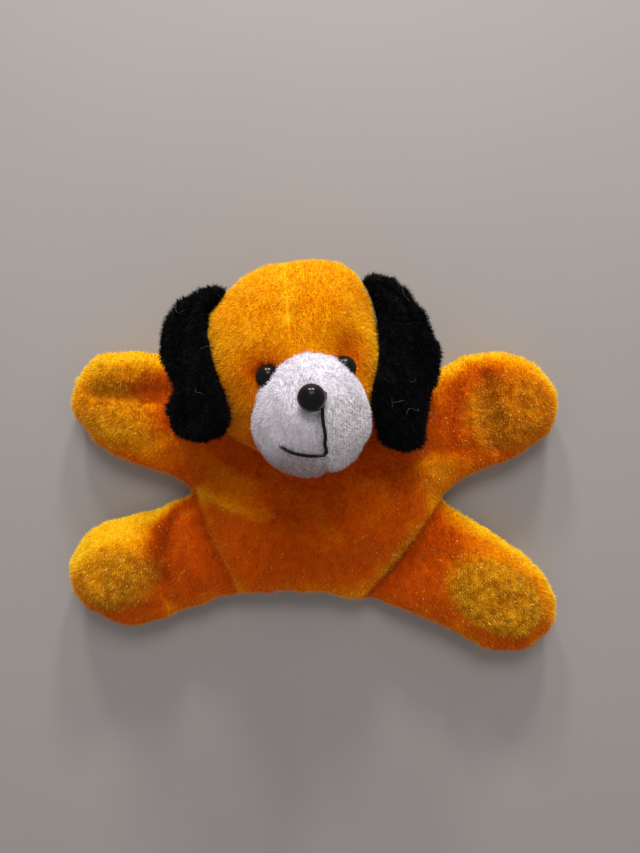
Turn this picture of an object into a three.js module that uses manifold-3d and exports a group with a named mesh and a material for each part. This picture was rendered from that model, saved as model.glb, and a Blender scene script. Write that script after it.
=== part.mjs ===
// A small plush dog puppet: a flat open-bottomed velour body for the fingers, a stuffed head on a
// cloth finger tube, two padded ears and four padded paws that each hold a disc magnet.
// It lies on its back: +X to its left paw side, +Y to the top of the head, +Z out of its face.
// Millimetres. The origin is under the middle of its outline, on the surface that it lies on.
import * as THREE from "three";
import { mergeVertices } from "three/addons/utils/BufferGeometryUtils.js";
import Module from "manifold-3d";

const wasm = await Module();
wasm.setup();

// Driving dimensions
const gap = 0.3; // clear space between two pieces that touch in the cloth toy
const cloth = 1; // one layer of pile cloth
const bodyThick = 12; // the pouch for the fingers
const limbThick = 11; // an arm or a leg
const round = 4; // how far the pillow edge of a body part rolls over
const seamZ = limbThick / 2; // height of the side seam and of every limb crease
const crease = 1.6; // cloth left bare on each side of a crease, so that the limb can fold
const mouthX = [-13.8, 7.8]; // the hem is open between these
const magnetR = 6.5;
const magnetThick = 2.5;
const hipRight = [[32.2, -8.6], [12.6, -33.6]]; // crease from armpit to hem
const hipLeft = [[-31.8, -6.6], [-18.6, -31.6]];
const shoulderRight = 40.5; // x of the crease
const shoulderLeft = -41.5;
const head = { x: -4.5, y: 26, z: 25.4, a: 19.6, b: 21.7, c: 14.4, roll: 5, square: 2.5 };
const headSeamZ = 18; // the back panel of the head ends here
const headSeat = 2.8; // room between the head and the chest when the head nods
const neck = { x: -4.2, y: 20, bore: 5.4, wall: 1, flangeR: 7.4, low: 8.4, high: 17.2 };
const headHoleR = 8.6;
const muzzle = { x: -0.7, y: 13.2, z: 36.6, a: 12.6, b: 13.3, c: 10.6, roll: 6 };
const eyeR = 2.6;
const eyes = { left_eye: [-9.4, 21, 38.6], right_eye: [6.5, 22.9, 37.6] };
const nose = { x: -0.2, y: 16.2, z: 48.6, r: 2.8 };
const threadR = 0.35;
const earThick = 5; // two cloths and a pad

const colours = {
  velour: [0xd98a10, 0.95],
  white_velour: [0xd8d2d4, 0.95],
  black_velour: [0x0b0b0c, 0.98],
  bead: [0x090709, 0.12],
  thread: [0x141012, 0.8],
  fibre: [0xe8e6e0, 1],
  magnet: [0x4a4a4c, 0.55],
};

const puppet = new THREE.Group();

function solidOf(geometry) {
  const plain = geometry.clone();
  plain.deleteAttribute("normal");
  plain.deleteAttribute("uv");
  const merged = mergeVertices(plain, 1e-4);
  return new wasm.Manifold(
    new wasm.Mesh({
      numProp: 3,
      vertProperties: merged.attributes.position.array,
      triVerts: new Uint32Array(merged.index.array),
    }),
  );
}

function addPiece(name, finish, shape) {
  let geometry = shape;
  if (!shape.isBufferGeometry) {
    const made = shape.getMesh();
    geometry = new THREE.BufferGeometry();
    geometry.setAttribute("position", new THREE.BufferAttribute(made.vertProperties, 3));
    geometry.setIndex(new THREE.BufferAttribute(made.triVerts, 1));
    geometry.computeVertexNormals();
  }
  const [color, roughness] = colours[finish];
  const metalness = finish === "magnet" ? 0.8 : 0;
  const mesh = new THREE.Mesh(geometry, new THREE.MeshStandardMaterial({ color, roughness, metalness }));
  mesh.name = name;
  puppet.add(mesh);
}

// A closed outline through a few points, straight between the first and the last of them.
function outlineOf(points) {
  const curve = new THREE.SplineCurve(points.map(([x, y]) => new THREE.Vector2(x, y)));
  return new THREE.Shape(curve.getPoints(points.length * 2 + 4));
}

// A pillow from low to high whose widest outline is the shape pulled in by inset.
function pillow(shape, low, high, roll, inset = 0) {
  const bevel = Math.min(roll, (high - low) / 2 - 0.2);
  const geometry = new THREE.ExtrudeGeometry(shape, {
    depth: high - low - 2 * bevel,
    bevelThickness: bevel,
    bevelSize: roll * 0.8,
    bevelOffset: -roll * 0.8 - inset,
    bevelSegments: 2,
    curveSegments: 3,
  });
  return solidOf(geometry.translate(0, 0, low + bevel));
}

// A plump closed form from low to high: slices of one outline, each scaled about the middle of it,
// the middle slice by keep and the end slices by keep * flat.
function plump(points, low, high, keep = 1, flat = 0.8) {
  const shape = outlineOf(points);
  const geometry = new THREE.ExtrudeGeometry(shape, { depth: 2, steps: 4, bevelEnabled: false });
  const { x: cx, y: cy } = middleOf(points);
  const at = geometry.attributes.position;
  for (let i = 0; i < at.count; i++) {
    const side = at.getZ(i) - 1; // -1 at the low end, 1 at the high end
    const scale = keep * (1 - (1 - flat) * Math.abs(side) ** 2.2);
    at.setXY(i, cx + (at.getX(i) - cx) * scale, cy + (at.getY(i) - cy) * scale);
    const rise = Math.sin((side * Math.PI) / 2);
    at.setZ(i, (low + high) / 2 + (rise * (high - low)) / 2);
  }
  return solidOf(geometry);
}

function middleOf(points) {
  const flat = points.map(([x, y]) => new THREE.Vector2(x, y));
  return new THREE.Box2().setFromPoints(flat).getCenter(new THREE.Vector2());
}

// A ball of three radii, squarer in outline than an ellipse when square is over 2, and rolled about +Z.
function ball({ x, y, z, a, b, c, roll = 0, square = 2 }, grow = 0, around = 22, up = 12) {
  const geometry = new THREE.SphereGeometry(1, around, up).rotateX(Math.PI / 2);
  const at = geometry.attributes.position;
  for (let i = 0; i < at.count; i++) {
    const px = at.getX(i);
    const py = at.getY(i);
    const flat = Math.hypot(px, py);
    const power = (Math.abs(px) ** square + Math.abs(py) ** square) ** (1 / square);
    const stretch = flat > 1e-6 ? flat / power : 1;
    at.setXY(i, px * (1 + (stretch - 1) * flat), py * (1 + (stretch - 1) * flat));
  }
  geometry.scale(a + grow, b + grow, c + grow);
  geometry.rotateZ(THREE.MathUtils.degToRad(roll)).translate(x, y, z);
  return solidOf(geometry);
}

function box(x0, y0, z0, x1, y1, z1) {
  const geometry = new THREE.BoxGeometry(x1 - x0, y1 - y0, z1 - z0);
  return solidOf(geometry.translate((x0 + x1) / 2, (y0 + y1) / 2, (z0 + z1) / 2));
}

function upright(radius, x, y, z0, z1, sides = 20) {
  const geometry = new THREE.CylinderGeometry(radius, radius, z1 - z0, sides).rotateX(Math.PI / 2);
  return solidOf(geometry.translate(x, y, (z0 + z1) / 2));
}

const wide = 200; // bigger than the puppet
const above = (z) => box(-wide, -wide, z, wide, wide, wide);
const below = (z) => box(-wide, -wide, -wide, wide, wide, z);

// What stays inside a flat solid when its sides move in by a distance, kept between -high and high.
function inward(solid, by, high) {
  const moved = [[by, 0], [-by, 0], [0, by], [0, -by]].map(([x, y]) => solid.translate([x, y, 0]));
  const inner = moved.reduce((left, copy) => left.intersect(copy), solid);
  return inner.intersect(above(-high)).intersect(below(high));
}

// Moves the two ends of a crease outward by a distance, to the side that the limb is on.
function beside([[x0, y0], [x1, y1]], distance) {
  const long = Math.hypot(x1 - x0, y1 - y0);
  const nx = (y1 - y0) / long;
  const ny = (x0 - x1) / long;
  return [
    [x0 + nx * distance, y0 + ny * distance],
    [x1 + nx * distance, y1 + ny * distance],
  ];
}

// Chest, belly and shoulders: two panels, open along the hem between the legs.
function addTorso() {
  const [armpitR, hemR] = beside(hipRight, crease);
  const [hemL, armpitL] = beside([hipLeft[1], hipLeft[0]], crease);
  const right = shoulderRight - crease;
  const left = shoulderLeft + crease;
  const shape = new THREE.Shape();
  shape.moveTo(hemL[0], hemL[1]);
  shape.quadraticCurveTo(-4, -31.2, hemR[0], hemR[1]); // the hem
  shape.lineTo(armpitR[0], armpitR[1]);
  shape.quadraticCurveTo(33, -4.4, right, -0.6); // under the right arm
  shape.lineTo(right, 28.6);
  shape.bezierCurveTo(30, 24, 18, 24, 8, 31); // over the right shoulder
  shape.lineTo(-16, 31);
  shape.bezierCurveTo(-24, 24, -32, 28, left, 29.2); // over the left shoulder
  shape.lineTo(left, 0.2);
  shape.quadraticCurveTo(-36, -2.2, armpitL[0], armpitL[1]); // under the left arm
  shape.closePath();

  const bed = upright(neck.flangeR + gap, neck.x, neck.y, neck.low - gap, 30);
  const seat = ball(head, headSeat).add(bed);
  const underBed = upright(neck.flangeR + gap + cloth, neck.x, neck.y, neck.low - gap - cloth, 30);
  const thinned = ball(head, headSeat + cloth).add(underBed);
  const whole = pillow(shape, 0, bodyThick, round).subtract(seat);
  const mouth = box(mouthX[0], -50, 1.2, mouthX[1], -24, bodyThick - 1.2);
  const inside = pillow(shape, 1.2, bodyThick - 1.2, round, cloth).add(mouth).subtract(thinned);
  const neckHole = upright(neck.bore, neck.x, neck.y, 1.2, 30);
  const skin = whole.subtract(inside).subtract(neckHole);
  addPiece("torso_front_panel", "velour", skin.intersect(above(seamZ + gap / 2)));
  addPiece("torso_back_panel", "velour", skin.intersect(below(seamZ - gap / 2)));
}

// One arm or leg: two cloth halves, a fibre pad and a magnet under the pad, near the paw.
function addLimb(side, points, magnetX, magnetY) {
  const hollow = plump(points, cloth, limbThick - cloth, 0.89);
  const skin = plump(points, 0, limbThick).subtract(hollow);
  addPiece(side + "_front_cloth", "velour", skin.intersect(above(seamZ + gap / 2)));
  addPiece(side + "_back_cloth", "velour", skin.intersect(below(seamZ - gap / 2)));
  const low = cloth + 2 * gap;
  const pocket = upright(magnetR + gap, magnetX, magnetY, -1, low + magnetThick + gap);
  const pad = plump(points, cloth + gap, limbThick - cloth - gap, 0.86);
  addPiece(side + "_fibre_pad", "fibre", pad.subtract(pocket));
  addPiece(side + "_magnet", "magnet", upright(magnetR, magnetX, magnetY, low, low + magnetThick));
}

function addLimbs() {
  const armL = shoulderLeft - crease;
  addLimb("left_arm", [[armL, 0.6], [-54.6, 5.2], [-60.6, 11.6], [-61.8, 18.2], [-58.6, 25.8],
    [-52, 29.6], [armL, 29.4]], -52.4, 16.5);
  const armR = shoulderRight + crease;
  addLimb("right_arm", [[armR, 29.2], [50.6, 29.2], [57.4, 25.6], [61.6, 19], [61.2, 13], [57.4, 7.2],
    [51, 3], [armR, -0.2]], 52, 15.5);
  const [topR, hemR] = beside([hipRight[0], hipRight[1]], -crease);
  addLimb("right_leg", [hemR, [22.6, -35.6], [34.9, -41], [44.6, -46.4], [52, -47.2], [59.4, -42],
    [61.4, -34], [57, -25.2], [46.6, -17.2], topR], 47.5, -31.5);
  const [hemL, topL] = beside([hipLeft[1], hipLeft[0]], -crease);
  addLimb("left_leg", [topL, [-43.6, -11.6], [-54.6, -14.2], [-61.2, -22], [-61.2, -30], [-55.4, -37.2],
    [-46.2, -39.8], [-36, -37.6], [-26.6, -34], hemL], -49.5, -26);
}

// A cloth tube sewn into the neck hole; the finger reaches through it into the head.
function addNeckTube() {
  const outer = upright(neck.bore + neck.wall, neck.x, neck.y, neck.low, neck.high, 24);
  const flange = upright(neck.flangeR, neck.x, neck.y, neck.low, neck.low + neck.wall, 24);
  const bore = upright(neck.bore, neck.x, neck.y, 0, neck.high + 1, 24);
  addPiece("neck_finger_tube", "velour", outer.add(flange).subtract(bore));
}

// A block that covers one side (-1 or 1) of the seam.
function sideOf({ x, y, roll }, offset, side) {
  const geometry = new THREE.BoxGeometry(wide, wide, wide);
  geometry.translate(offset + side * (wide / 2 + gap / 2), 0, 0).rotateZ(THREE.MathUtils.degToRad(roll));
  return solidOf(geometry.translate(x, y, 0));
}

function beadSeats(grow) {
  return Object.values(eyes)
    .map(([x, y, z]) => ball({ x, y, z, a: eyeR, b: eyeR, c: eyeR }, grow, 14, 8))
    .reduce((one, other) => one.add(other));
}

// Two face panels that meet at the forehead seam, a back panel with the finger hole, and the filling.
function addHead() {
  const seats = beadSeats(gap);
  const hole = upright(headHoleR, neck.x, neck.y, 0, headSeamZ + gap);
  const skin = ball(head).subtract(ball(head, -cloth)).subtract(seats).subtract(hole);
  const face = skin.intersect(above(headSeamZ + gap / 2));
  addPiece("head_left_panel", "velour", face.intersect(sideOf(head, 0, -1)));
  addPiece("head_right_panel", "velour", face.intersect(sideOf(head, 0, 1)));
  addPiece("head_back_panel", "velour", skin.intersect(below(headSeamZ - gap / 2)));
  addPiece("head_stuffing", "fibre", ball(head, -cloth - gap).subtract(beadSeats(gap)).subtract(hole));
}

function addMuzzle() {
  const face = ball(head, gap);
  const beads = beadSeats(gap).add(ball({ ...nose, a: nose.r, b: nose.r, c: nose.r }, gap, 14, 8));
  const skin = ball(muzzle).subtract(ball(muzzle, -cloth)).subtract(face).subtract(beads);
  addPiece("muzzle_left_panel", "white_velour", skin.intersect(sideOf(muzzle, 2, -1)));
  addPiece("muzzle_right_panel", "white_velour", skin.intersect(sideOf(muzzle, 2, 1)));
  addPiece("muzzle_stuffing", "fibre", ball(muzzle, -cloth - gap).subtract(face).subtract(beads));
}

function addBeads() {
  for (const [name, [x, y, z]] of Object.entries(eyes)) {
    addPiece(name + "_bead", "bead", ball({ x, y, z, a: eyeR, b: eyeR, c: eyeR }, 0, 14, 8));
  }
  addPiece("nose_bead", "bead", ball({ ...nose, a: nose.r, b: nose.r, c: nose.r }, 0, 16, 10));
}

// Height of the muzzle's surface over a point of the face.
function muzzleZ(x, y) {
  const turn = THREE.MathUtils.degToRad(-muzzle.roll);
  const dx = x - muzzle.x;
  const dy = y - muzzle.y;
  const u = (dx * Math.cos(turn) - dy * Math.sin(turn)) / muzzle.a;
  const v = (dx * Math.sin(turn) + dy * Math.cos(turn)) / muzzle.b;
  return muzzle.z + muzzle.c * Math.sqrt(Math.max(0, 1 - u * u - v * v));
}

// A stitch that lies on the muzzle along a few points.
function addStitch(name, points) {
  const lift = threadR + gap;
  const route = points.map(([x, y]) => new THREE.Vector3(x, y, muzzleZ(x, y) + lift));
  const section = new THREE.Shape().absarc(0, 0, threadR, 0, Math.PI * 2);
  addPiece(name, "thread", solidOf(new THREE.ExtrudeGeometry(section, {
    steps: 8,
    curveSegments: 3,
    bevelEnabled: false,
    extrudePath: new THREE.CatmullRomCurve3(route),
  })));
}

function addStitches() {
  addStitch("lip_stitch", [[2.5, 12.6], [2.7, 10], [2.9, 7.6], [2.7, 5.4]]);
  addStitch("smile_stitch", [[-6.4, 6.6], [-4, 5], [-1, 4.4], [1.7, 4.4]]);
}

// One ear: a front cloth and a back cloth round a flat pad, hinged at its sewn root on the head.
// Its outline is in its own plane, measured from the root.
function addEar(side, points, root, lean, droop) {
  const place = new THREE.Matrix4().makeRotationFromEuler(
    new THREE.Euler(THREE.MathUtils.degToRad(droop), THREE.MathUtils.degToRad(lean), 0, "XYZ"),
  );
  place.setPosition(root[0], root[1], root[2]);
  const half = earThick / 2;
  const whole = plump(points, -half, half);
  const hollow = inward(whole, cloth, half - cloth);
  const skin = whole.subtract(hollow);
  const pad = inward(hollow, gap, half - cloth - gap);
  // where the head comes against the ear as the ear lifts
  const away = root.map((v) => -v);
  const cheek = [0, 20, 40, 60, 75]
    .map((lift) => ball(head, 2 * gap).translate(away).rotate([lift, 0, 0]).translate(root))
    .reduce((all, one) => all.add(one));
  const put = (name, finish, part) =>
    addPiece(name, finish, part.transform(place.elements).subtract(cheek));
  put(side + "_front_cloth", "black_velour", skin.intersect(above(gap / 2)));
  put(side + "_back_cloth", "black_velour", skin.intersect(below(-gap / 2)));
  put(side + "_fibre_pad", "fibre", pad);
}

function addEars() {
  addEar("left_ear", [[1.6, -0.6], [-4.7, 1.1], [-12.4, -1.3], [-17.3, -10.8], [-15.4, -19.4],
    [-15.2, -26.3], [-8.8, -34.2], [-1.9, -34.2], [2.2, -28.5], [-0.9, -19], [-3.2, -9.6],
    [-2.2, -4.3]], [-20.6, 42, 26.5], -30, -8);
  addEar("right_ear", [[-1.2, 0.3], [4.2, 3], [11.6, 0.8], [17.3, -5.6], [21.4, -13.6], [20.4, -21],
    [17.2, -30], [14.7, -36.8], [9, -38.2], [4.1, -35.4], [2.2, -27], [3.4, -17], [3.9, -9],
    [1.4, -2.6]], [11.2, 43.4, 26], 30, -8);
}

addTorso();
addLimbs();
addNeckTube();
addHead();
addMuzzle();
addBeads();
addStitches();
addEars();

export default puppet;
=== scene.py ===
import math

import bpy
import numpy as np
from mathutils import Matrix


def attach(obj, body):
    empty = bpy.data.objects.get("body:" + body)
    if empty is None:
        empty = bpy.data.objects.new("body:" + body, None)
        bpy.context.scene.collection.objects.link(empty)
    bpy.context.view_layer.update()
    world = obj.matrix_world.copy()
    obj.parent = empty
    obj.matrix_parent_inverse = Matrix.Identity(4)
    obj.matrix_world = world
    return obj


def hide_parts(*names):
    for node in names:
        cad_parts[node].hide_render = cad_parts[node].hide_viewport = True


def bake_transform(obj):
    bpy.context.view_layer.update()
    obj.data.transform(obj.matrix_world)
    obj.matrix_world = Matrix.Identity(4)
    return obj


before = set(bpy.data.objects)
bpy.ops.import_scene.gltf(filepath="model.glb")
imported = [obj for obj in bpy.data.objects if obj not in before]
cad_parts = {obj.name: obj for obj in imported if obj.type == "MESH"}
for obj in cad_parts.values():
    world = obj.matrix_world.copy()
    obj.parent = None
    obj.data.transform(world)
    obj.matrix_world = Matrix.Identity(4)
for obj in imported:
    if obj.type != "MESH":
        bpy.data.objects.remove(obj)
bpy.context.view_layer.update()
print("puppet: frame loaded")

# Shapes are worked out in millimetres in the frame of the part, and go to metres when a mesh is made.
mm = 0.001
scene = bpy.context.scene
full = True


# ---- camera, light and floor

view = {"x": 1.45, "y": 10.7, "height": 176, "lens": 28.0}
cameraData = bpy.data.cameras.new("camera")
cameraData.lens = view["lens"]
cameraData.sensor_width = 36
cameraData.clip_start = 0.01
camera = bpy.data.objects.new("camera", cameraData)
camera.location = (view["x"] * mm, view["y"] * mm, view["height"] * mm)
scene.collection.objects.link(camera)
scene.camera = camera

lamps = [
    # name, place in mm, size in mm, watts, colour
    ("keyLamp", (30, 380, 500), 260, 1.35, (1.0, 0.965, 0.94)),
    ("lowLampRight", (85, 540, 200), 75, 1.6, (1.0, 0.96, 0.92)),
    ("lowLampLeft", (-105, 540, 205), 75, 1.35, (1.0, 0.96, 0.92)),
]


def addLamp(name, place, size, watts, colour):
    data = bpy.data.lights.new(name, "AREA")
    data.shape = "DISK"
    data.size = size * mm
    data.energy = watts
    data.color = colour
    lamp = bpy.data.objects.new(name, data)
    lamp.location = [c * mm for c in place]
    aim = np.array([0, 0, 10]) - np.array(place)
    turn = Matrix([list(v) for v in framing(aim)]).transposed()
    lamp.rotation_euler = turn.to_euler()
    scene.collection.objects.link(lamp)


def framing(aim):
    # three axes for a lamp that shines down its own -Z along aim
    back = -aim / np.linalg.norm(aim)
    right = np.cross([0, 1, 0.01], back)
    right /= np.linalg.norm(right)
    return right, np.cross(back, right), back


for lamp in lamps:
    addLamp(*lamp)

world = bpy.data.worlds.new("world")
scene.world = world
world.use_nodes = True
world.node_tree.nodes["Background"].inputs["Color"].default_value = (0.95, 0.93, 0.92, 1)
world.node_tree.nodes["Background"].inputs["Strength"].default_value = 0.42
scene.view_settings.view_transform = "Standard"


# ---- material tools

class Wire:
    # a socket that takes part in sums
    def __init__(self, finish, socket):
        self.finish = finish
        self.socket = socket

    def math(self, operation, *values):
        return self.finish.node("ShaderNodeMath", {"operation": operation}, values)

    def __add__(self, other):
        return self.math("ADD", self, other)

    def __radd__(self, other):
        return self.math("ADD", other, self)

    def __sub__(self, other):
        return self.math("SUBTRACT", self, other)

    def __rsub__(self, other):
        return self.math("SUBTRACT", other, self)

    def __mul__(self, other):
        return self.math("MULTIPLY", self, other)

    def __rmul__(self, other):
        return self.math("MULTIPLY", other, self)

    def within(self, low, high):
        return self.math("MAXIMUM", self.math("MINIMUM", self, high), low)


class Finish:
    # one material, and the only way that nodes are added to it
    def __init__(self, name, **constants):
        self.material = bpy.data.materials.new(name)
        self.material.use_nodes = True
        self.tree = self.material.node_tree
        self.surface = self.tree.nodes["Principled BSDF"]
        for socket, value in constants.items():
            self.surface.inputs[socket.replace("_", " ")].default_value = value

    def node(self, kind, settings=None, values=(), out=0):
        made = self.tree.nodes.new(kind)
        for key, value in (settings or {}).items():
            if key == "stops":
                for stop in list(made.color_ramp.elements)[1:]:
                    made.color_ramp.elements.remove(stop)
                for i, (place, colour) in enumerate(value):
                    stop = made.color_ramp.elements[0] if i == 0 else made.color_ramp.elements.new(place)
                    stop.position = place
                    stop.color = colour
            else:
                setattr(made, key, value)
        pairs = values.items() if isinstance(values, dict) else enumerate(values)
        for key, value in pairs:
            if isinstance(value, Wire):
                self.tree.links.new(value.socket, made.inputs[key])
            else:
                made.inputs[key].default_value = value
        return Wire(self, made.outputs[out])

    def feed(self, socket, wire):
        self.tree.links.new(wire.socket, self.surface.inputs[socket])

    def places(self):
        return self.node("ShaderNodeTexCoord", out="Object")

    def noise(self, size, detail=3, rough=0.55, warp=0.0):
        # size is the width of one blob in mm
        values = {"Vector": self.places(), "Scale": 1000 / size, "Detail": detail,
                  "Roughness": rough, "Distortion": warp}
        return self.node("ShaderNodeTexNoise", {"noise_dimensions": "3D"}, values)

    def stored(self, name):
        return self.node("ShaderNodeAttribute", {"attribute_name": name}, out="Fac")

    def blend(self, amount, one, two):
        return self.node("ShaderNodeMix", {"data_type": "RGBA"}, {0: amount, 6: one, 7: two}, out=2)

    def bump(self, height, depth):
        return self.node("ShaderNodeBump", {}, {"Height": height, "Distance": depth * mm, "Strength": 1.0})


# ---- materials

velours = {
    # stops run from painted deep shade, where the pile is seen end on, to painted light, yellow, where it is
    # brushed flat and faces the lamps
    "golden": {
        "stops": [(0.0, (0.45, 0.028, 0.0, 1)), (0.35, (0.70, 0.10, 0.0, 1)),
                  (0.65, (0.92, 0.40, 0.0, 1)), (1.0, (1.0, 0.70, 0.012, 1))],
        "second": ((0.30, 0.115, 0.001, 1), (0.88, 0.52, 0.01, 1)),
        "under": (0.6, 0.08, 0.0, 1), "tips": (1.0, 0.8, 0.12, 1), "gloss": (1.0, 0.7, 0.2, 1),
        "sheen": (1.0, 0.5, 0.04, 1), "sheenAmount": 0.12, "specular": 0.16,
        "patch": 9.0, "patchAmount": 0.36, "mottle": 1.7,
    },
    "white": {
        "stops": [(0.0, (0.40, 0.29, 0.28, 1)), (0.4, (0.64, 0.595, 0.64, 1)), (1.0, (0.80, 0.78, 0.86, 1))],
        "second": ((0.36, 0.31, 0.33, 1), (0.95, 0.93, 0.99, 1)),
        "under": (0.74, 0.70, 0.74, 1), "tips": (1.0, 1.0, 1.0, 1), "gloss": (1.0, 1.0, 1.0, 1),
        "sheen": (1.0, 1.0, 1.0, 1), "sheenAmount": 0.1, "specular": 0.3,
        "patch": 7.0, "patchAmount": 0.12, "mottle": 0.7,
    },
    "black": {
        "stops": [(0.0, (0.0012, 0.001, 0.0014, 1)), (1.0, (0.004, 0.0038, 0.0045, 1))],
        "second": ((0.001, 0.001, 0.001, 1), (0.006, 0.005, 0.006, 1)),
        "under": (0.001, 0.001, 0.001, 1), "tips": (0.02, 0.019, 0.021, 1), "gloss": (0.8, 0.8, 0.85, 1),
        "sheen": (0.5, 0.5, 0.55, 1), "sheenAmount": 0.015, "specular": 0.1,
        "patch": 6.0, "patchAmount": 0.4, "mottle": 1.5,
    },
}


def velourFinish(colour, strands):
    # the cloth under the pile, or the strands of the pile, which share their colours
    look = velours[colour]
    kind = "Pile" if strands else "Cloth"
    finish = Finish(colour + kind, Sheen_Weight=look["sheenAmount"], Sheen_Roughness=0.4,
                    Sheen_Tint=look["sheen"], Specular_Tint=look["gloss"],
                    Specular_IOR_Level=look["specular"] if strands else 0.05)
    patches = finish.noise(look["patch"], 4, 0.6, 0.4)
    grain = finish.noise(0.9, 3)
    rows = finish.node("ShaderNodeTexWave", {"wave_type": "BANDS", "bands_direction": "X"},
                       {"Vector": finish.places(), "Scale": 560, "Distortion": 2.5, "Detail": 1})
    # the nap mark is painted light and shade with some real nap: lighter where a surface faces the lamps or
    # is a ridge, darker in creases
    amount = finish.stored("nap") + (patches - 0.5) * look["patchAmount"] + (grain - 0.5) * 0.12
    amount = amount + (rows - 0.5) * 0.07
    # a mottle of a dark and a bright colour, the bright one a painted glint, laid on the golden and glinting
    # patches
    mottle = (finish.noise(look["mottle"], 4, 0.6) * 3 - 1.0 + (rows - 0.5) * 0.3).within(0, 1)
    second = finish.blend(mottle, *look["second"])
    gold = (finish.stored("gold") * 2.2 - 0.35).within(0, 0.9)
    if strands:
        tone, spark = finish.stored("tone"), finish.stored("spark")
        amount = amount + (tone - 0.5) * 0.16
    shade = finish.node("ShaderNodeValToRGB", {"stops": look["stops"]}, [amount.within(0, 1)])
    shade = finish.blend(gold, shade, second)
    if strands:
        # strand tips a little lighter, and the glint strands painted with the bright tip colour as painted
        # glints
        shade = finish.blend((finish.stored("tip") * 0.15 + spark * 0.8).within(0, 1), shade, look["tips"])
        finish.feed("Roughness", (0.62 - 0.15 * tone - 0.3 * spark).within(0.15, 0.9))
    else:
        shade = finish.blend((finish.noise(0.35, 2) * 1.2 - 0.2).within(0, 1), shade, look["under"])
        finish.feed("Roughness", (0.75 + grain * 0.2).within(0, 1))
        finish.feed("Normal", finish.bump(finish.noise(0.45, 3), 0.2))
    finish.feed("Base Color", shade)
    return finish.material


cloths = {colour: velourFinish(colour, False) for colour in velours}
piles = {colour: velourFinish(colour, True) for colour in velours}


def beadFinish():
    finish = Finish("blackBead", Coat_Weight=0.05, Coat_Roughness=0.1, Specular_IOR_Level=0.2)
    smudge = finish.noise(1.6, 4, 0.6)
    scratch = finish.noise(0.25, 2)
    finish.feed("Base Color", finish.blend(smudge, (0.0015, 0.001, 0.0015, 1), (0.006, 0.005, 0.006, 1)))
    finish.feed("Roughness", (0.14 + smudge * 0.14).within(0.05, 0.6))
    finish.feed("Normal", finish.bump(smudge + scratch * 0.2, 0.02))
    return finish.material


def threadFinish():
    finish = Finish("blackThread", Sheen_Weight=0.02, Specular_IOR_Level=0.15)
    fibre = finish.noise(0.12, 3)
    finish.feed("Base Color", finish.blend(fibre, (0.003, 0.002, 0.003, 1), (0.014, 0.011, 0.013, 1)))
    finish.feed("Roughness", (0.5 + fibre * 0.4).within(0, 1))
    finish.feed("Normal", finish.bump(fibre, 0.05))
    return finish.material


def fibreFinish():
    finish = Finish("fillingFibre", Sheen_Weight=0.4)
    clump = finish.noise(2.2, 5, 0.65, 0.8)
    finish.feed("Base Color", finish.blend(clump, (0.62, 0.6, 0.55, 1), (0.9, 0.89, 0.86, 1)))
    finish.feed("Roughness", (0.8 + clump * 0.2).within(0, 1))
    finish.feed("Normal", finish.bump(clump, 0.8))
    return finish.material


def lintFinish():
    finish = Finish("paleLint", Sheen_Weight=0.1, Alpha=0.55)
    tint = finish.noise(0.8, 2)
    finish.feed("Base Color", finish.blend(tint, (0.10, 0.10, 0.11, 1), (0.4, 0.4, 0.42, 1)))
    finish.feed("Roughness", (0.4 + tint * 0.3).within(0, 1))
    return finish.material


def magnetFinish():
    finish = Finish("ferrite", Metallic=0.35)
    grain = finish.noise(0.3, 4)
    wear = finish.noise(3, 4, 0.7)
    finish.feed("Base Color", finish.blend(wear, (0.05, 0.05, 0.053, 1), (0.12, 0.12, 0.125, 1)))
    finish.feed("Roughness", (0.45 + grain * 0.35).within(0, 1))
    finish.feed("Normal", finish.bump(grain, 0.06))
    return finish.material


def floorFinish():
    finish = Finish("floor", Specular_IOR_Level=0.12)
    wash = finish.noise(90, 2)
    finish.feed("Base Color", finish.blend(wash, (0.345, 0.325, 0.315, 1), (0.375, 0.355, 0.345, 1)))
    finish.feed("Roughness", (0.55 + wash * 0.15).within(0, 1))
    return finish.material


beadSkin, threadSkin, fibreSkin = beadFinish(), threadFinish(), fibreFinish()
magnetSkin, lintSkin = magnetFinish(), lintFinish()


# ---- mesh tools

def waves(p, seed, size, count=7):
    # a smooth random field, about -1 to 1, whose blobs are size mm wide
    rng = np.random.default_rng(seed)
    total = np.zeros(p.shape[:-1])
    for _ in range(count):
        direction = rng.normal(size=3)
        direction *= 2 * math.pi / (size * rng.uniform(0.7, 1.5)) / np.linalg.norm(direction)
        total += np.sin(p @ direction + rng.uniform(0, 2 * math.pi))
    return total / math.sqrt(count / 2) / 1.6


def slope(field, p, reach=0.06):
    # how the field grows along x, y and z
    sides = []
    for axis in np.eye(3) * reach:
        sides.append((field(*(p + axis).T) - field(*(p - axis).T)) / (2 * reach))
    return np.stack(sides, 1)


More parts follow.
